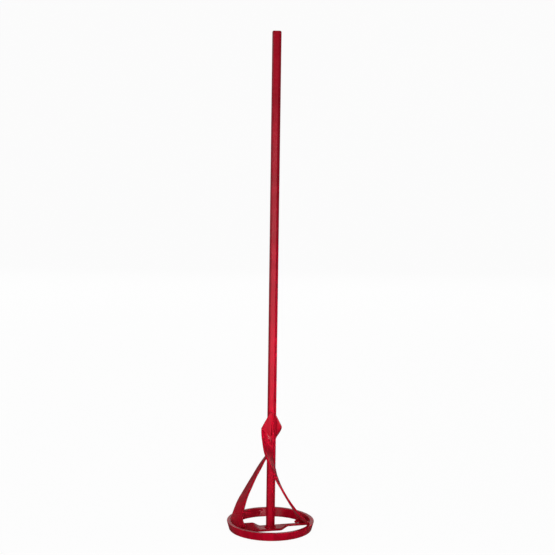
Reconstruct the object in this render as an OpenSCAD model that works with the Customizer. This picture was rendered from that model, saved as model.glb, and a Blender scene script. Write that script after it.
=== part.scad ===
// Mortar mixing paddle for a drill: a hexagonal shaft that stands on a cross strap inside a
// flared hoop, with two helical blades that rise from the hoop and close on the shaft.
// All sizes are millimetres. The shaft's axis is Z. The strap stands on Z = 0 and the hoop's foot
// is just clear of it.

/* [Shaft] */
// overall height, from the strap's underside to the end of the shank
paddle_h = 632.5; // [400:0.5:800]
// hexagon size across its flats
hex_flats = 10; // [8:0.5:14]
// turn of the hexagon about the shaft's axis, in degrees
hex_turn = -5; // [-30:1:30]
// chamfer at the shank's free end
shank_chamfer = 1.2; // [0:0.1:3]
// length of the shallow round-bottomed flat pressed into the shank's front face
shank_mark_len = 14; // [4:0.5:30]
// width of that pressed flat
shank_mark_w = 4; // [1:0.5:5]
// depth of that pressed flat
shank_mark_depth = 0.4; // [0.1:0.1:1]

/* [Hoop] */
// outer radius at the top rim
hoop_top_r = 56; // [40:1:80]
// outer radius at the foot
hoop_foot_r = 53; // [40:1:80]
// height of the hoop's strip
hoop_h = 10.8; // [6:0.2:25]
// thickness of the hoop's strip, measured level
hoop_wall = 5; // [2:0.5:6]
// height of the hoop's foot above the strap's underside
hoop_lift = 1.5; // [0:0.5:5]
// chamfer of the hoop's four long edges
hoop_chamfer = 0.8; // [0.2:0.1:1.5]
// azimuth of the butt seam, in degrees
seam_azimuth = 84; // [0:1:359]

/* [Cross strap] */
// width of the strap
strap_w = 18; // [10:1:30]
// thickness of the strap
strap_t = 3; // [2:0.5:6]
// direction of the strap about the shaft's axis, in degrees
strap_azimuth = 14.5; // [0:0.5:90]
// pitch of the two outer arms, in degrees
arm_pitch = 16.5; // [0:0.5:30]
// distance from the axis where the arms start to twist
twist_start = 11; // [8:1:30]
// distance from the axis where the arms reach their full pitch
twist_end = 22.5; // [15:0.5:45]

/* [Blades] */
// width of the blade strip
blade_w = 18; // [10:1:30]
// thickness of the blade strip
blade_t = 2.5; // [1.5:0.5:5]
// turn of the rear blade from the front one, in degrees
rear_turn = 181.2; // [175:0.1:185]
// steps between one blade station and the next
blade_steps = 7; // [3:1:16]
// height of the tip of the wing that is folded over on to the shaft
wing_tip_h = 156.5; // [140:0.5:180]

/* [Welds] */
// radius of the weld beads between pieces
bead_r = 1.8; // [1:0.1:3]
// radius of the bead in the hoop's butt seam
seam_bead_r = 1.4; // [0.5:0.1:2]

/* [Hidden] */
$fn = 96;
bead_fn = 24;
hex_corner_r = hex_flats / 2 / cos(30);
hoop_inner_top_r = hoop_top_r - hoop_wall;
hoop_inner_foot_r = hoop_foot_r - hoop_wall;
hoop_flare = (hoop_top_r - hoop_foot_r) / hoop_h;
arm_lift = strap_w / 2 * sin(arm_pitch) + strap_t / 2 * cos(arm_pitch);
strap_half_len = 49.5;
strap_rings = 44;
red = [0.66, 0.07, 0.10];
red_bead = [0.55, 0.05, 0.08];

// Stations up the centre line of the front blade, from its foot to the fold at its top:
// [azimuth, radius, height, turn of the width away from the shaft, rise of the width]
blade_stations = [
    [22, 43, 5.5, 0, 26],
    [-22, 44.5, 18.5, 5, 28],
    [-49, 49.5, 36, 5, 28],
    [-67, 52, 57, 18, 38],
    [-79.5, 48, 78, -3, 15],
    [-88, 33.5, 93.5, -21, -17],
    [-109, 14.5, 112, -34, -35],
    [-137, 9, 128.5, -52, -44]
];
blade_spans = len(blade_stations) - 1;

// The rear blade is the same strip, but necks in sooner under its fold
rear_neck = [-101, 14, 112, -18, -35];
rear_stations = [for (i = [0 : blade_spans]) i == blade_spans - 1 ? rear_neck : blade_stations[i]];

// The two corners of the wing's blunt tip, beside the shaft, and the wing's facing
wing_outer = [-1.6, -6.8, wing_tip_h];
wing_inner = [0.6, -7, wing_tip_h - 3];
wing_normal = [0.12, 0.99, -0.03];

function polar(azimuth, radius, height) = [radius * cos(azimuth), radius * sin(azimuth), height];
function unit(v) = v / norm(v);
function smooth_step(x) = x <= 0 ? 0 : x >= 1 ? 1 : x * x * (3 - 2 * x);

// Smooth curve through b and c, with a and d as the neighbours on each side
function through(a, b, c, d, t) =
    0.5 * (2 * b + (c - a) * t + (2 * a - 5 * b + 4 * c - d) * t * t
        + (3 * b - a - 3 * c + d) * t * t * t);

// Station of a blade at span i and fraction t
function station(stations, i, t) = through(
    stations[max(i - 1, 0)],
    stations[i],
    stations[min(i + 1, blade_spans)],
    stations[min(i + 2, blade_spans)],
    t
);

// Station of a blade after k of its steps
function station_at(stations, k) =
    let (i = min(floor(k / blade_steps), blade_spans - 1))
    station(stations, i, k / blade_steps - i);
function blade_centre(s) = polar(s[0], s[1], s[2]);
function blade_across(s) =
    let (heading = s[0] + 180 + s[3])
    [cos(heading) * cos(s[4]), sin(heading) * cos(s[4]), sin(s[4])];

// Section of a strip: its two edges, each thickened to both sides along the normal
function strip_ring(edge_a, edge_b, normal, thick) =
    let (half = normal * thick / 2)
    [edge_a + half, edge_b + half, edge_b - half, edge_a - half];

function blade_ring(stations, k) =
    let (
        s = station_at(stations, k),
        before = station_at(stations, max(k - 1, 0)),
        after = station_at(stations, min(k + 1, blade_spans * blade_steps)),
        along = unit(blade_centre(after) - blade_centre(before)),
        across = blade_across(s),
        normal = unit(cross(along, across)),
        half = across * blade_w / 2
    )
    strip_ring(blade_centre(s) - half, blade_centre(s) + half, normal, blade_t);

// Solid through a list of four-cornered rings
module ring_solid(rings) {
    count = len(rings);
    polyhedron(
        points = [for (ring = rings) each ring],
        faces = concat(
            [[3, 2, 1], [3, 1, 0]],
            [for (i = [0 : count - 2], j = [0 : 3])
                [4 * i + j, 4 * i + (j + 1) % 4, 4 * i + 4 + (j + 1) % 4]],
            [for (i = [0 : count - 2], j = [0 : 3])
                [4 * i + j, 4 * i + 4 + (j + 1) % 4, 4 * i + 4 + j]],
            [[4 * count - 4, 4 * count - 3, 4 * count - 2],
                [4 * count - 4, 4 * count - 2, 4 * count - 1]]
        ),
        convexity = 6
    );
}

// Weld bead from one point to another, with tapered ends
module bead(from, to, radius) {
    run = to - from;
    len = norm(run);
    taper = radius * 0.6;
    translate(from)
        rotate([0, acos(run[2] / len), atan2(run[1], run[0])])
            rotate_extrude($fn = bead_fn)
                polygon([
                    [0, 0],
                    [radius - taper, 0],
                    [radius, taper],
                    [radius, len - taper],
                    [radius - taper, len],
                    [0, len]
                ]);
}

// Point on the hoop's inner wall, at a height above its foot
function hoop_point(azimuth, height) =
    polar(azimuth, hoop_inner_foot_r + hoop_flare * height, hoop_lift + height);

module half_turn() {
    rotate([0, 0, 180])
        children();
}

// Outline of the hoop's strip, with its long edges chamfered
module hoop_outline() {
    polygon([
        [hoop_inner_foot_r + hoop_chamfer, 0],
        [hoop_foot_r - hoop_chamfer, 0],
        [hoop_foot_r, hoop_chamfer],
        [hoop_top_r, hoop_h - hoop_chamfer],
        [hoop_top_r - hoop_chamfer, hoop_h],
        [hoop_inner_top_r + hoop_chamfer, hoop_h],
        [hoop_inner_top_r, hoop_h - hoop_chamfer],
        [hoop_inner_foot_r, hoop_chamfer]
    ]);
}

// Everything outside the hoop's inner wall, up to its rim: blades and strap stop here
module hoop_space() {
    translate([0, 0, hoop_lift])
        rotate_extrude()
            polygon([
                [hoop_inner_foot_r - hoop_flare * 10, -10],
                [hoop_top_r + 20, -10],
                [hoop_top_r + 20, hoop_h],
                [hoop_inner_top_r, hoop_h]
            ]);
}

// The space under the upper face of the right arm, where a blade's foot stops
module arm_space() {
    rotate([0, 0, strap_azimuth])
        translate([0, 0, arm_lift])
            rotate([-arm_pitch, 0, 0])
                translate([twist_end, -strap_w / 2, strap_t / 2 - 30])
                    cube([40, strap_w, 30]);
}

// The shallow flat that runs down the shank's front face from its end
module shank_mark() {
    mark_r = shank_mark_w / 2;
    rotate([0, 0, hex_turn])
        translate([0, shank_mark_depth - hex_flats / 2, paddle_h - shank_mark_len + mark_r]) {
            rotate([90, 0, 0])
                cylinder(r = mark_r, h = 5);
            translate([-mark_r, -5, 0])
                cube([shank_mark_w, 5, shank_mark_len]);
        }
}

// The hexagonal bar with its end turned to a chamfer
module chamfered_bar() {
    intersection() {
        translate([0, 0, strap_t])
            rotate([0, 0, hex_turn])
                cylinder(r = hex_corner_r, h = paddle_h - strap_t, $fn = 6);
        union() {
            cylinder(r = hex_corner_r + 1, h = paddle_h - 2 * shank_chamfer);
            translate([0, 0, paddle_h - 2 * shank_chamfer])
                cylinder(
                    r1 = hex_corner_r + shank_chamfer / 2,
                    r2 = hex_corner_r - shank_chamfer,
                    h = 2 * shank_chamfer
                );
        }
    }
}

module shaft() {
    color(red)
        difference() {
            chamfered_bar();
            shank_mark();
        }
}

module hoop() {
    color(red)
        translate([0, 0, hoop_lift])
            rotate_extrude()
                hoop_outline();
}

// Flat under the shaft, then pitched one way on each arm so that both lift as the tool turns
module cross_strap() {
    rings = [for (i = [0 : strap_rings])
        let (
            s = strap_half_len * (2 * i / strap_rings - 1),
            share = smooth_step((abs(s) - twist_start) / (twist_end - twist_start)),
            pitch = (s > 0 ? 1 : -1) * arm_pitch * share,
            lift = strap_w / 2 * sin(abs(pitch)) + strap_t / 2 * cos(pitch),
            across = [0, -cos(pitch), sin(pitch)] * strap_w / 2,
            normal = [0, sin(pitch), cos(pitch)]
        )
        strip_ring([s, 0, lift] - across, [s, 0, lift] + across, -normal, strap_t)];
    color(red)
        difference() {
            rotate([0, 0, strap_azimuth])
                ring_solid(rings);
            hoop_space();
        }
}

// A blade turned into place, with its foot on the arm on that side
module blade(stations, turn, side) {
    rings = concat(
        [for (k = [0 : blade_spans * blade_steps]) blade_ring(stations, k)],
        [strip_ring(wing_outer, wing_inner, unit(wing_normal), blade_t)]
    );
    color(red)
        difference() {
            rotate([0, 0, turn])
                ring_solid(rings);
            hoop_space();
            rotate([0, 0, side])
                arm_space();
        }
}

module blade_front() {
    blade(blade_stations, 0, 0);
}

module blade_rear() {
    blade(rear_stations, rear_turn, 180);
}

module weld_hoop_seam() {
    color(red_bead)
        bead(hoop_point(seam_azimuth, 0.6), hoop_point(seam_azimuth, hoop_h - 0.6), seam_bead_r);
}

module weld_shaft_foot() {
    color(red_bead)
        difference() {
            translate([0, 0, strap_t])
                cylinder(r1 = hex_corner_r + bead_r, r2 = hex_corner_r + 0.3, h = bead_r);
            translate([0, 0, strap_t - 1])
                rotate([0, 0, hex_turn])
                    cylinder(r = hex_corner_r, h = bead_r + 2, $fn = 6);
        }
}

module wing_weld() {
    color(red_bead)
        bead([1.8, -6, 125.5], [2, -5.8, wing_tip_h - 2], bead_r);
}

module weld_wing_front() {
    wing_weld();
}

module weld_wing_rear() {
    half_turn()
        wing_weld();
}

// Along the blade's foot, where it stands on the arm
module foot_weld() {
    color(red_bead)
        bead(polar(19, 34, 7), polar(19, 46, 5.5), bead_r);
}

module weld_foot_front() {
    foot_weld();
}

module weld_foot_rear() {
    half_turn()
        foot_weld();
}

module blade_hoop_weld() {
    color(red_bead)
        bead(hoop_point(14, 5), hoop_point(-8, 9.5), bead_r);
}

module weld_blade_hoop_front() {
    blade_hoop_weld();
}

module weld_blade_hoop_rear() {
    half_turn()
        blade_hoop_weld();
}

module strap_end_weld() {
    color(red_bead)
        bead(hoop_point(25, 1.5), hoop_point(9, 5.5), bead_r);
}

module weld_strap_end_right() {
    strap_end_weld();
}

module weld_strap_end_left() {
    half_turn()
        strap_end_weld();
}

shaft();
hoop();
cross_strap();
blade_front();
blade_rear();
weld_hoop_seam();
weld_shaft_foot();
weld_wing_front();
weld_wing_rear();
weld_foot_front();
weld_foot_rear();
weld_blade_hoop_front();
weld_blade_hoop_rear();
weld_strap_end_right();
weld_strap_end_left();
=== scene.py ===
"""Looks of the mortar mixing paddle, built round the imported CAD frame. Metres, +Z up."""
import bpy
import bmesh
import math
from mathutils import Matrix, Vector, noise


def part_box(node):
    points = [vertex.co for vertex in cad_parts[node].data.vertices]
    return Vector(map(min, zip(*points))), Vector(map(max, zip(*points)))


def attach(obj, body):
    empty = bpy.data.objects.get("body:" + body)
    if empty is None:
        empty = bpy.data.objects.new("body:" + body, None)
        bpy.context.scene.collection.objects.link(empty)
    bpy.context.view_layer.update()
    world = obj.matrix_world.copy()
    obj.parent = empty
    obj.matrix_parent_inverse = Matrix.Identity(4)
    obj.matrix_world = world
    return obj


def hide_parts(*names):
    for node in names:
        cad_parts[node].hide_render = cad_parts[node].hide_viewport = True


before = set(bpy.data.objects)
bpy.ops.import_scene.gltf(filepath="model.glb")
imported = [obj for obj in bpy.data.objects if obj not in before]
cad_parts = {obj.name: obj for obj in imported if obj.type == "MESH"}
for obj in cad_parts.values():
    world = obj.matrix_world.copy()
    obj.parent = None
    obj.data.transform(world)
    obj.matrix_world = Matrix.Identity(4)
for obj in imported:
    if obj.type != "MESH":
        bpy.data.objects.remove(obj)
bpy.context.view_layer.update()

MM = 0.001

# ---------------------------------------------------------------- sizes, in millimetres
SHAFT_LOW, SHAFT_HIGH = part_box("shaft")
HOOP_LOW, HOOP_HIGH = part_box("hoop")
PADDLE_H = SHAFT_HIGH.z / MM
STRAP_T = SHAFT_LOW.z / MM
STRAP_W = 18.0
HOOP_LIFT = HOOP_LOW.z / MM
HOOP_H = HOOP_HIGH.z / MM - HOOP_LIFT
HOOP_TOP_R = HOOP_HIGH.x / MM
HOOP_SPREAD = 3.0
HOOP_FOOT_R = HOOP_TOP_R - HOOP_SPREAD
HOOP_WALL = 5.0
HOOP_FLARE = (HOOP_TOP_R - HOOP_FOOT_R) / HOOP_H
SEAM_AZIMUTH = 84.0
HEX_FLATS = 10.0
HEX_TURN = -5.0
SHANK_CHAMFER = 1.2
SHANK_MARK_LEN = 14.0
SHANK_MARK_W = 4.0
SHANK_MARK_DEPTH = 0.4
STRAP_AZIMUTH = 14.5
ARM_PITCH = 16.5
TWIST_START = 11.0
TWIST_END = 22.5
STRAP_HALF_LEN = 49.5
BLADE_W = 18.0
BLADE_T = 2.5

# Up the centre line of the front blade:
# azimuth, radius, height, turn of the width away from the shaft, rise of the width
BLADE_STATIONS = [
    (22, 43, 5.5, 0, 26),
    (-22, 44.5, 18.5, 5, 28),
    (-49, 49.5, 36, 5, 28),
    (-67, 52, 57, 18, 38),
    (-79.5, 48, 78, -3, 15),
    (-88, 33.5, 93.5, -21, -17),
    (-109, 14.5, 112, -34, -35),
    (-137, 9, 128.5, -52, -44),
]
# The rear blade is the same strip half a turn on, but necks in sooner under its fold
REAR_NECK = (-101, 14, 112, -18, -35)
REAR_TURN = 181.2
REAR_STATIONS = BLADE_STATIONS[:-2] + [REAR_NECK] + BLADE_STATIONS[-1:]
WING_OUTER = Vector((-1.6, -6.8, 156.5))
WING_INNER = Vector((0.6, -7, 153.5))
WING_NORMAL = Vector((0.12, 0.99, -0.03)).normalized()
# How far a blade's edge runs into the hoop's wall, and how far above an arm's middle it is cut off
WALL_REACH = 0.5
ARM_CUT_RISE = 0.6
BLADE_STEPS = 14
WING_STEPS = 16
STRIP_EDGE_R = 1.1
STRAP_EDGE_R = 0.7
HOOP_EDGE_R = 0.8
HOOP_STEPS = 216
STRAP_STEPS = 90
SHAFT_STEPS = 120
HEX_EDGE_R = 0.4
# Radii of the weld beads
SEAM_BEAD_R = 1.3
COLLAR_BEAD_R = 1.25
EDGE_BEAD_R = 1.5
FOOT_BEAD_R = 1.6
# The blob that a foot bead starts with, as a share of its radius
FOOT_BLOB = 0.35
# From one ripple of a bead to the next, and from one of its rings to the next
BEAD_PITCH = 1.7
BEAD_STEP = 0.22
# Edges shorter than this, in metres, are closed up after a cut
SLIVER = 0.00001
# A hair under the strap, so that the two never share a plane
FLOOR_Z = -0.0002

# The camera, in metres and degrees; the focal length is a share of the picture's width
CAMERA_PLACE = (0.00481, -1.918, 0.6325)
CAMERA_PITCH = 9.04
CAMERA_ROLL = 0.80
CAMERA_FOCAL = 1551.7 / 555


# ---------------------------------------------------------------- small helpers
def polar(azimuth, radius, height):
    a = math.radians(azimuth)
    return Vector((radius * math.cos(a), radius * math.sin(a), height))


def smooth_step(x):
    x = min(max(x, 0.0), 1.0)
    return x * x * (3 - 2 * x)


def wobble(point, size, seed=0.0):
    """Smooth, repeatable unevenness between -1 and 1; size is the width of one bump in mm."""
    return noise.noise(point / size + Vector((seed, 2 * seed, -seed)))


def half_turned(points):
    return [Vector((-p.x, -p.y, p.z)) for p in points]


# ---------------------------------------------------------------- mesh makers
def solid_through(rings, closed=False):
    """A closed bmesh through rings of points in mm."""
    count = len(rings[0])
    bm = bmesh.new()
    grid = [[bm.verts.new(p * MM) for p in ring] for ring in rings]
    spans = len(rings) if closed else len(rings) - 1
    for i in range(spans):
        a, b = grid[i], grid[(i + 1) % len(rings)]
        for j in range(count):
            k = (j + 1) % count
            bm.faces.new((a[j], a[k], b[k], b[j]))
    if not closed:
        bm.faces.new(list(reversed(grid[0])))
        bm.faces.new(grid[-1])
    bmesh.ops.recalc_face_normals(bm, faces=bm.faces)
    return bm


def object_from(name, bm):
    mesh = bpy.data.meshes.new(name)
    bm.to_mesh(mesh)
    bm.free()
    piece = bpy.data.objects.new(name, mesh)
    bpy.context.scene.collection.objects.link(piece)
    return piece


def clean_cut(mesh):
    """Closes up the slivers that a cut leaves, and drops faces that lie back to back."""
    bm = bmesh.new()
    bm.from_mesh(mesh)
    bmesh.ops.remove_doubles(bm, verts=bm.verts, dist=SLIVER)
    bmesh.ops.dissolve_degenerate(bm, edges=bm.edges, dist=SLIVER)
    bmesh.ops.triangulate(bm, faces=bm.faces)
    bm.verts.index_update()
    faces_on = {}
    for face in bm.faces:
        faces_on.setdefault(frozenset(v.index for v in face.verts), []).append(face)
    doubled = [face for faces in faces_on.values() if len(faces) > 1 for face in faces]
    bmesh.ops.delete(bm, geom=doubled, context="FACES")
    bm.to_mesh(mesh)
    bm.free()


def cut_away(piece, cutter_bm):
    """Takes the cutter's solid out of the piece for good."""
    cutter = object_from("cutter", cutter_bm)
    cut = piece.modifiers.new("cut", "BOOLEAN")
    cut.operation = "DIFFERENCE"
    cut.solver = "EXACT"
    cut.object = cutter
    graph = bpy.context.evaluated_depsgraph_get()
    trimmed = bpy.data.meshes.new_from_object(piece.evaluated_get(graph))
    clean_cut(trimmed)
    piece.modifiers.clear()
    piece.data = trimmed
    bpy.data.objects.remove(cutter)


def dress(piece, node, material, sharp=40):
    """Shades a finished piece with its material, hangs it under the root body and hides the CAD node it
    stands for.
    """
    mesh = piece.data
    mesh.materials.clear()
    mesh.materials.append(material)
    mesh.shade_smooth()
    mesh.set_sharp_from_angle(angle=math.radians(sharp))
    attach(piece, "root")
    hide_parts(node)
    return piece


def rounded_outline(corners, radius, side_counts, corner_steps=4):
    """Closed 2-D outline with each corner rolled round and each side cut into equal parts."""
    corners = [Vector(c) for c in corners]
    outline = []
    total = len(corners)
    for i, corner in enumerate(corners):
        before = (corners[i - 1] - corner).normalized() * radius
        after = (corners[(i + 1) % total] - corner).normalized() * radius
        for step in range(corner_steps + 1):
            t = step / corner_steps
            outline.append(corner + before * (1 - t) ** 2 + after * t ** 2)
        following = corners[(i + 1) % total]
        start = corner + after
        end = following - after
        for step in range(1, side_counts[i]):
            outline.append(start.lerp(end, step / side_counts[i]))
    return outline


def strip_outline(width, thick, edge_r):
    half_w, half_t = width / 2, thick / 2
    corners = ((half_w, half_t), (-half_w, half_t), (-half_w, -half_t), (half_w, -half_t))
    return rounded_outline(corners, edge_r, (10, 2, 10, 2))


def lay(outline, centre, across, through):
    """A 2-D outline laid in space."""
    return [centre + across * p.x + through * p.y for p in outline]


# ---------------------------------------------------------------- the blades
def through(a, b, c, d, t):
    return 0.5 * (2 * b + (c - a) * t + (2 * a - 5 * b + 4 * c - d) * t ** 2
                  + (3 * b - a - 3 * c + d) * t ** 3)


def station(stations, position):
    """Blade station at a position counted in spans from the foot."""
    last = len(stations) - 1
    i = min(int(position), last - 1)
    t = position - i
    near = [stations[min(max(i + k, 0), last)] for k in (-1, 0, 1, 2)]
    return [through(*values, t) for values in zip(*near)]


def blade_centre(s):
    return polar(s[0], s[1], s[2])


def blade_across(s):
    heading = math.radians(s[0] + 180 + s[3])
    rise = math.radians(s[4])
    return Vector((
        math.cos(heading) * math.cos(rise),
        math.sin(heading) * math.cos(rise),
        math.sin(rise),
    ))


def blade_rings(stations, seed):
    rings = []
    spans = len(stations) - 1
    last = spans * BLADE_STEPS
    reach = 0.5 / BLADE_STEPS
    outline = strip_outline(BLADE_W, BLADE_T, STRIP_EDGE_R)
    for k in range(last + 1):
        position = k / BLADE_STEPS
        s = station(stations, position)
        centre, across = blade_centre(s), blade_across(s)
        ahead = blade_centre(station(stations, min(position + reach, spans)))
        behind = blade_centre(station(stations, max(position - reach, 0)))
        normal = (ahead - behind).cross(across).normalized()
        centre = centre + normal * 0.25 * wobble(centre, 22, seed)
        rings.append(lay(outline, centre, across, normal))
    crease_outer = centre - across * BLADE_W / 2
    crease_inner = centre + across * BLADE_W / 2
    for k in range(1, WING_STEPS + 1):
        share = (k / WING_STEPS) ** 1.5
        outer = crease_outer.lerp(WING_OUTER, share)
        inner = crease_inner.lerp(WING_INNER, share)
        turn = smooth_step(share * 8)
        facing = normal.lerp(WING_NORMAL, turn).normalized()
        chord = inner - outer
        outline = strip_outline(chord.length, BLADE_T, STRIP_EDGE_R)
        rings.append(lay(outline, (outer + inner) / 2, chord.normalized(), facing))
    return rings


def beyond_hoop():
    """Everything from just inside the hoop's wall outwards, up to just under its rim."""
    inner_foot = HOOP_FOOT_R - HOOP_WALL
    inner_top = HOOP_TOP_R - HOOP_WALL
    profile = (
        (inner_foot - HOOP_FLARE * 10 + WALL_REACH, HOOP_LIFT - 10),
        (HOOP_TOP_R + 20, HOOP_LIFT - 10),
        (HOOP_TOP_R + 20, HOOP_LIFT + HOOP_H - WALL_REACH),
        (inner_top + WALL_REACH, HOOP_LIFT + HOOP_H - WALL_REACH),
    )
    rings = [[polar(a, r, z) for r, z in profile] for a in range(0, 360, 3)]
    return solid_through(rings, closed=True)


def below_arm(side):
    """The space below a plane in an arm's upper half; side is 0 for the right arm, 180 for the left."""
    lift = STRAP_W / 2 * math.sin(math.radians(ARM_PITCH)) + STRAP_T / 2
    place = (
        Matrix.Rotation(math.radians(STRAP_AZIMUTH + side), 4, "Z")
        @ Matrix.Translation((0, 0, lift))
        @ Matrix.Rotation(math.radians(-ARM_PITCH), 4, "X")
    )
    half = STRAP_W / 2 - 0.2
    rings = []
    for s in (TWIST_END, STRAP_HALF_LEN + 15):
        corners = ((s, -half, ARM_CUT_RISE), (s, half, ARM_CUT_RISE), (s, half, -30), (s, -half, -30))
        rings.append([place @ Vector(c) for c in corners])
    return solid_through(rings)


def add_blade(name, node, stations, turn, side, material, seed):
    rings = blade_rings(stations, seed)
    piece = object_from(name, solid_through(rings))
    piece.data.transform(Matrix.Rotation(math.radians(turn), 4, "Z"))
    cut_away(piece, beyond_hoop())
    cut_away(piece, below_arm(side))
    return dress(piece, node, material, sharp=50)


# ---------------------------------------------------------------- hoop, strap and shaft
def add_hoop(material):
    """The strip's two ends meet at the seam, one of them a little high and proud."""
    inner_foot = HOOP_FOOT_R - HOOP_WALL
    inner_top = HOOP_TOP_R - HOOP_WALL
    corners = ((inner_foot, 0), (HOOP_FOOT_R, 0), (HOOP_TOP_R, HOOP_H), (inner_top, HOOP_H))
    outline = rounded_outline(corners, HOOP_EDGE_R, (3, 6, 3, 6))
    rings = []
    for k in range(HOOP_STEPS + 1):
        turn = 360 * k / HOOP_STEPS
        azimuth = SEAM_AZIMUTH + turn
        nearness = smooth_step(1 - (360 - turn) / 30)
        unround = 0.1 * math.sin(math.radians(2 * azimuth + 40)) - 0.1
        ring = []
        for p in outline:
            lift = p.y / HOOP_H
            level = p.y + 0.4 * nearness * lift + 0.12 * wobble(polar(azimuth, 60, 0), 25, 3) * lift
            ring.append(polar(azimuth, p.x + unround - 0.25 * nearness, HOOP_LIFT + max(level, 0)))
        rings.append(ring)
    piece = object_from("hoop_strip", solid_through(rings))
    return dress(piece, "hoop", material)


def strap_point_frame(s):
    share = smooth_step((abs(s) - TWIST_START) / (TWIST_END - TWIST_START))
    pitch = math.copysign(math.radians(ARM_PITCH) * share, s)
    lift = STRAP_W / 2 * math.sin(abs(pitch)) + STRAP_T / 2 * math.cos(pitch)
    across = Vector((0, -math.cos(pitch), math.sin(pitch)))
    through_strap = Vector((0, math.sin(pitch), math.cos(pitch)))
    return Vector((s, 0, lift)), across, through_strap


def add_strap(material):
    outline = strip_outline(STRAP_W, STRAP_T, STRAP_EDGE_R)
    turn = Matrix.Rotation(math.radians(STRAP_AZIMUTH), 3, "Z")
    rings = []
    for k in range(STRAP_STEPS + 1):
        s = STRAP_HALF_LEN * (2 * k / STRAP_STEPS - 1)
        rings.append([turn @ p for p in lay(outline, *strap_point_frame(s))])
    piece = object_from("cross_strap_bar", solid_through(rings))
    return dress(piece, "cross_strap", material, sharp=50)


def shank_mark():
    """The shallow round-bottomed flat that runs down the shank's front face from its end."""
    mark_r = SHANK_MARK_W / 2
    foot = PADDLE_H - SHANK_MARK_LEN + mark_r
    outline = [Vector((mark_r, PADDLE_H + 1)), Vector((-mark_r, PADDLE_H + 1))]
    for k in range(17):
        a = math.pi + math.pi * k / 16
        outline.append(Vector((mark_r * math.cos(a), foot + mark_r * math.sin(a))))
    turn = Matrix.Rotation(math.radians(HEX_TURN), 3, "Z")
    face = -HEX_FLATS / 2
    rings = [[turn @ Vector((p.x, y, p.y)) for p in outline]
             for y in (face - 2, face + SHANK_MARK_DEPTH)]
    return solid_through(rings)


def add_shaft(material):
    corner_r = HEX_FLATS / 2 / math.cos(math.radians(30))
    corners = [polar(HEX_TURN + a, corner_r, 0).xy for a in range(0, 360, 60)]
    outline = rounded_outline(corners, HEX_EDGE_R, (4,) * 6, corner_steps=5)
    heights = [STRAP_T + (PADDLE_H - 4 - STRAP_T) * k / SHAFT_STEPS for k in range(SHAFT_STEPS + 1)]
    heights += [PADDLE_H - z for z in (2.4, 2, 1.6, 1.2, 0.8, 0.5, 0.25, 0.1, 0)]
    rings = []
    for z in heights:
        below_end = PADDLE_H - z
        limit = corner_r - SHANK_CHAMFER + below_end * 0.75
        if below_end < 0.3:
            limit -= (0.3 - below_end)
        ring = []
        for p in outline:
            radius = min(p.length, limit)
            flat = p * (radius / p.length)
            ring.append(Vector((flat.x, flat.y, z)))
        rings.append(ring)
    piece = object_from("hex_shaft_bar", solid_through(rings))
    cut_away(piece, shank_mark())
    return dress(piece, "shaft", material, sharp=30)


# ---------------------------------------------------------------- weld beads
def bead_piece(name, node, path, radius, material, seed, closed=False, blob=0.0):
    """A weld bead along a path: overlapping crescent ripples, thinner at its two ends."""
    around = 16
    lengths = [0.0]
    for a, b in zip(path, path[1:]):
        lengths.append(lengths[-1] + (b - a).length)
    total = lengths[-1]
    steps = max(12, int(total / BEAD_STEP))
    rings = []
    for k in range(steps + (0 if closed else 1)):
        run = total * k / steps
        i = max(j for j in range(len(path) - 1) if lengths[j] <= run + 1e-9)
        t = (run - lengths[i]) / (lengths[i + 1] - lengths[i])
        centre = path[i].lerp(path[i + 1], t)
        along = (path[i + 1] - path[i]).normalized()
        side = along.cross(Vector((0, 0, 1)) if abs(along.z) < 0.8 else Vector((0, 1, 0)))
        side.normalize()
        up = side.cross(along)
        phase = (run / BEAD_PITCH) % 1.0
        ripple = 0.84 + 0.16 * math.sqrt(max(0.0, 1 - (2 * phase - 1) ** 2))
        ends = 1.0
        if not closed:
            near_end = min(run, total - run) / (1.3 * radius)
            ends = 0.35 + 0.65 * math.sqrt(min(max(near_end, 0.0), 1.0))
        swell = 1 + blob * math.exp(-((run / radius - 1) ** 2))
        size = radius * ripple * ends * swell
        size *= 1 + 0.10 * wobble(centre, 3.5, seed)
        ring = []
        for j in range(around):
            a = 2 * math.pi * j / around
            lag = 0.35 * radius * math.cos(a) ** 2 * ends
            point = centre + side * size * math.cos(a) + up * size * math.sin(a) - along * lag
            point += (point - centre) * 0.06 * wobble(point, 1.2, seed + 7)
            ring.append(point)
        rings.append(ring)
    piece = object_from(name, solid_through(rings, closed=closed))
    return dress(piece, node, material, sharp=60)


def hoop_point(azimuth, height):
    return polar(azimuth, HOOP_FOOT_R - HOOP_WALL + HOOP_FLARE * height, HOOP_LIFT + height)


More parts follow.
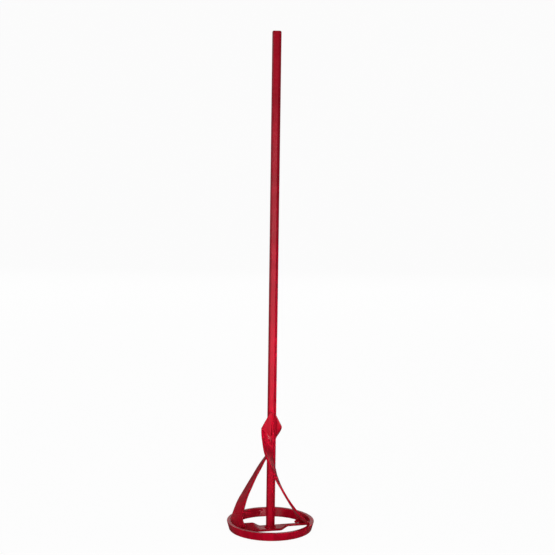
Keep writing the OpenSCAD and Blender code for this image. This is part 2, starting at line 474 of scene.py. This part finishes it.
def add_welds(material):
    seam = [hoop_point(SEAM_AZIMUTH, 0.9), hoop_point(SEAM_AZIMUTH, HOOP_H - 0.9)]
    bead_piece("hoop_seam_bead", "weld_hoop_seam", seam, SEAM_BEAD_R, material, 1)

    corner_r = HEX_FLATS / 2 / math.cos(math.radians(30))
    loop = [polar(a, corner_r + 0.35, STRAP_T + 0.35) for a in range(0, 361, 6)]
    bead_piece("shaft_foot_bead", "weld_shaft_foot", loop, COLLAR_BEAD_R, material, 2, closed=True)

    wing = [Vector((1.7, -6.0, 125.5)), Vector((1.6, -6.0, 139.5)), Vector((1.5, -5.9, 154.5))]
    foot = [polar(19.5, 33, 6.8), polar(19, 39.5, 6.6), polar(19, 46, 5.5)]
    edge = [hoop_point(14 - 22 * k / 6, 5 + 4.5 * k / 6) for k in range(7)]
    end = [hoop_point(25 - 16 * k / 6, 1.7 + 3.8 * k / 6) for k in range(7)]
    pairs = (
        ("wing_bead_front", "weld_wing_front", wing, False, EDGE_BEAD_R, 0.0),
        ("wing_bead_rear", "weld_wing_rear", wing, True, EDGE_BEAD_R, 0.0),
        ("foot_bead_front", "weld_foot_front", foot, False, FOOT_BEAD_R, FOOT_BLOB),
        ("foot_bead_rear", "weld_foot_rear", foot, True, FOOT_BEAD_R, FOOT_BLOB),
        ("blade_hoop_bead_front", "weld_blade_hoop_front", edge, False, EDGE_BEAD_R, 0.0),
        ("blade_hoop_bead_rear", "weld_blade_hoop_rear", edge, True, EDGE_BEAD_R, 0.0),
        ("strap_end_bead_right", "weld_strap_end_right", end, False, EDGE_BEAD_R, 0.0),
        ("strap_end_bead_left", "weld_strap_end_left", end, True, EDGE_BEAD_R, 0.0),
    )
    for seed, (name, node, path, turned, radius, blob) in enumerate(pairs, 3):
        route = half_turned(path) if turned else path
        bead_piece(name, node, route, radius, material, seed, blob=blob)


# ---------------------------------------------------------------- materials
class Nodes:
    """Short calls for building one material's node tree."""

    def __init__(self, name):
        self.material = bpy.data.materials.new(name)
        self.material.use_nodes = True
        self.tree = self.material.node_tree
        self.shader = self.tree.nodes["Principled BSDF"]

    def add(self, kind, **settings):
        node = self.tree.nodes.new(kind)
        for key, value in settings.items():
            setattr(node, key, value)
        return node

    def link(self, source, target):
        self.tree.links.new(source, target)

    def noise(self, scale, detail=4.0, rough=0.5, distortion=0.0, stretch=None):
        made = self.add("ShaderNodeTexNoise")
        made.inputs["Scale"].default_value = scale
        made.inputs["Detail"].default_value = detail
        made.inputs["Roughness"].default_value = rough
        made.inputs["Distortion"].default_value = distortion
        place = self.add("ShaderNodeMapping")
        if stretch:
            place.inputs["Scale"].default_value = stretch
        self.link(self.coordinates(), place.inputs["Vector"])
        self.link(place.outputs["Vector"], made.inputs["Vector"])
        return made.outputs["Fac"]

    def coordinates(self):
        if not hasattr(self, "where"):
            self.where = self.add("ShaderNodeTexCoord")
        return self.where.outputs["Object"]

    def ramp(self, value, low, high, start=(0, 0, 0, 1), end=(1, 1, 1, 1)):
        made = self.add("ShaderNodeValToRGB")
        made.color_ramp.elements[0].position = low
        made.color_ramp.elements[1].position = high
        made.color_ramp.elements[0].color = start
        made.color_ramp.elements[1].color = end
        self.link(value, made.inputs["Fac"])
        return made.outputs["Color"]

    def mix(self, factor, a, b, blend="MIX"):
        made = self.add("ShaderNodeMix", data_type="RGBA", blend_type=blend)
        for socket, value in ((made.inputs[0], factor), (made.inputs[6], a), (made.inputs[7], b)):
            if isinstance(value, bpy.types.NodeSocket):
                self.link(value, socket)
            else:
                socket.default_value = value
        return made.outputs[2]

    def bump(self, height, distance, strength=1.0, onto=None):
        made = self.add("ShaderNodeBump")
        made.inputs["Distance"].default_value = distance
        made.inputs["Strength"].default_value = strength
        self.link(height, made.inputs["Height"])
        if onto is not None:
            self.link(onto, made.inputs["Normal"])
        return made.outputs["Normal"]


def enamel(name, deep, bright, roughness, ripple):
    """Dipped gloss enamel on steel: clouded red, orange peel, sags, a few specks and dust."""
    n = Nodes(name)
    clouds = n.ramp(n.noise(38, 5, 0.55, 0.6), 0.34, 0.68)
    colour = n.mix(clouds, deep, bright)
    sags = n.ramp(n.noise(140, 3, 0.5, 0.2, stretch=(1, 1, 0.12)), 0.35, 0.75)
    colour = n.mix(sags, colour, tuple(0.82 * c for c in deep[:3]) + (1,), "MIX")
    dust = n.ramp(n.noise(520, 6, 0.7), 0.66, 0.82, end=(0.2, 0.2, 0.2, 1))
    colour = n.mix(dust, colour, (0.60, 0.16, 0.16, 1))
    specks = n.ramp(n.noise(900, 2, 0.4, 0.0), 0.77, 0.80)
    colour = n.mix(specks, colour, (0.045, 0.012, 0.012, 1))
    n.link(colour, n.shader.inputs["Base Color"])

    gloss = n.add("ShaderNodeMapRange")
    n.link(n.noise(85, 6, 0.6), gloss.inputs["Value"])
    gloss.inputs["From Min"].default_value = 0.3
    gloss.inputs["From Max"].default_value = 0.7
    gloss.inputs["To Min"].default_value = roughness[0]
    gloss.inputs["To Max"].default_value = roughness[1]
    n.link(gloss.outputs["Result"], n.shader.inputs["Roughness"])

    peel = n.bump(n.noise(1100, 2, 0.5), 0.00003)
    waves = n.bump(n.noise(170, 3, 0.5), 0.00018, onto=peel)
    pits = n.bump(n.noise(2600, 2, 0.5), 0.000012 * ripple, onto=waves)
    n.link(pits, n.shader.inputs["Normal"])
    n.shader.inputs["Coat Weight"].default_value = 0.06
    n.shader.inputs["Coat Roughness"].default_value = 0.16
    n.shader.inputs["Specular IOR Level"].default_value = 0.09
    return n.material


def studio_white():
    """Nearly white, mostly from its own glow so that no corner of the studio turns grey."""
    n = Nodes("studio_white")
    tone = n.ramp(n.noise(1.5, 2, 0.4), 0.3, 0.7, (0.05, 0.05, 0.05, 1), (0.06, 0.06, 0.06, 1))
    n.link(tone, n.shader.inputs["Base Color"])
    n.shader.inputs["Roughness"].default_value = 0.9
    n.shader.inputs["Specular IOR Level"].default_value = 0.0
    n.shader.inputs["Emission Color"].default_value = (1, 1, 1, 1)
    n.shader.inputs["Emission Strength"].default_value = 0.96
    return n.material


# ---------------------------------------------------------------- studio
def add_backdrop(material):
    """A pale round floor that curves up into a wall all the way round."""
    profile = [(0.0, 0.0), (1.3, 0.0), (2.6, 0.0)]
    for k in range(1, 13):
        a = math.radians(90 * k / 12)
        profile.append((2.6 + 1.2 * math.sin(a), 1.2 - 1.2 * math.cos(a)))
    profile.append((3.8, 5.5))
    sides = 96
    bm = bmesh.new()
    centre = bm.verts.new((0, 0, FLOOR_Z))
    loops = []
    for r, z in profile[1:]:
        loops.append([bm.verts.new((
            r * math.cos(2 * math.pi * j / sides),
            r * math.sin(2 * math.pi * j / sides),
            z + FLOOR_Z,
        )) for j in range(sides)])
    for j in range(sides):
        k = (j + 1) % sides
        bm.faces.new((centre, loops[0][j], loops[0][k]))
        for inner, outer in zip(loops, loops[1:]):
            bm.faces.new((inner[j], outer[j], outer[k], inner[k]))
    floor = object_from("studio_floor", bm)
    floor.data.materials.append(material)
    floor.data.shade_smooth()
    floor.visible_diffuse = False
    floor.visible_glossy = False
    floor.visible_shadow = False


def add_softbox(name, place, target, size, glow, spread=180):
    """A soft lamp of a given size in metres; glow is its brightness, whatever its size."""
    lamp = bpy.data.lights.new(name, "AREA")
    lamp.shape = "RECTANGLE"
    lamp.size, lamp.size_y = size
    lamp.energy = glow * math.pi * size[0] * size[1]
    lamp.spread = math.radians(spread)
    box = bpy.data.objects.new(name, lamp)
    bpy.context.scene.collection.objects.link(box)
    box.location = place
    aim = Vector(target) - Vector(place)
    box.rotation_euler = aim.to_track_quat("-Z", "Y").to_euler()
    box.visible_camera = False


def light_studio():
    world = bpy.data.worlds.new("studio_air")
    world.use_nodes = True
    world.node_tree.nodes["Background"].inputs["Color"].default_value = (1, 1, 1, 1)
    world.node_tree.nodes["Background"].inputs["Strength"].default_value = 0.12
    bpy.context.scene.world = world
    add_softbox("front_box", (-0.12, -0.95, 0.20), (0, 0, 0.24), (0.85, 0.50), 4.3)
    add_softbox("middle_box", (0.45, -1.0, 0.35), (0, 0, 0.20), (0.40, 0.20), 0.80, spread=22)
    add_softbox("top_box", (0.0, 0.1, 1.6), (0, 0, 0), (1.2, 1.2), 0.6)
    add_softbox("left_box", (-1.6, 1.0, 0.4), (0, 0, 0.2), (1.2, 1.2), 0.4)
    add_softbox("right_box", (1.6, -0.2, 0.5), (0, 0, 0.2), (1.0, 1.2), 0.5)
    add_softbox("back_box", (0.0, 2.0, 0.7), (0, 0, 0.2), (2.4, 1.0), 1.0)
    bpy.context.scene.view_settings.view_transform = "Standard"


def add_camera():
    """Just above the shank's end, looking down at the hoop, with a slight roll."""
    lens = bpy.data.cameras.new("camera")
    lens.sensor_width = 36
    lens.lens = 36 * CAMERA_FOCAL
    lens.clip_start = 0.05
    lens.clip_end = 30
    camera = bpy.data.objects.new("camera", lens)
    bpy.context.scene.collection.objects.link(camera)
    aim = Matrix.Rotation(math.radians(90 - CAMERA_PITCH), 4, "X")
    roll = Matrix.Rotation(math.radians(CAMERA_ROLL), 4, "Z")
    camera.matrix_world = Matrix.Translation(CAMERA_PLACE) @ aim @ roll
    bpy.context.scene.camera = camera


red = enamel("red_enamel", (0.47, 0.001, 0.016, 1), (0.69, 0.002, 0.028, 1), (0.24, 0.38), 1.0)
bead_red = enamel("enamelled_weld", (0.45, 0.001, 0.014, 1), (0.69, 0.002, 0.026, 1), (0.25, 0.42), 2.0)

add_shaft(red)
add_hoop(red)
add_strap(red)
add_blade("blade_front_strip", "blade_front", BLADE_STATIONS, 0, 0, red, 11)
add_blade("blade_rear_strip", "blade_rear", REAR_STATIONS, REAR_TURN, 180, red, 23)
add_welds(bead_red)
add_backdrop(studio_white())
light_studio()
add_camera()
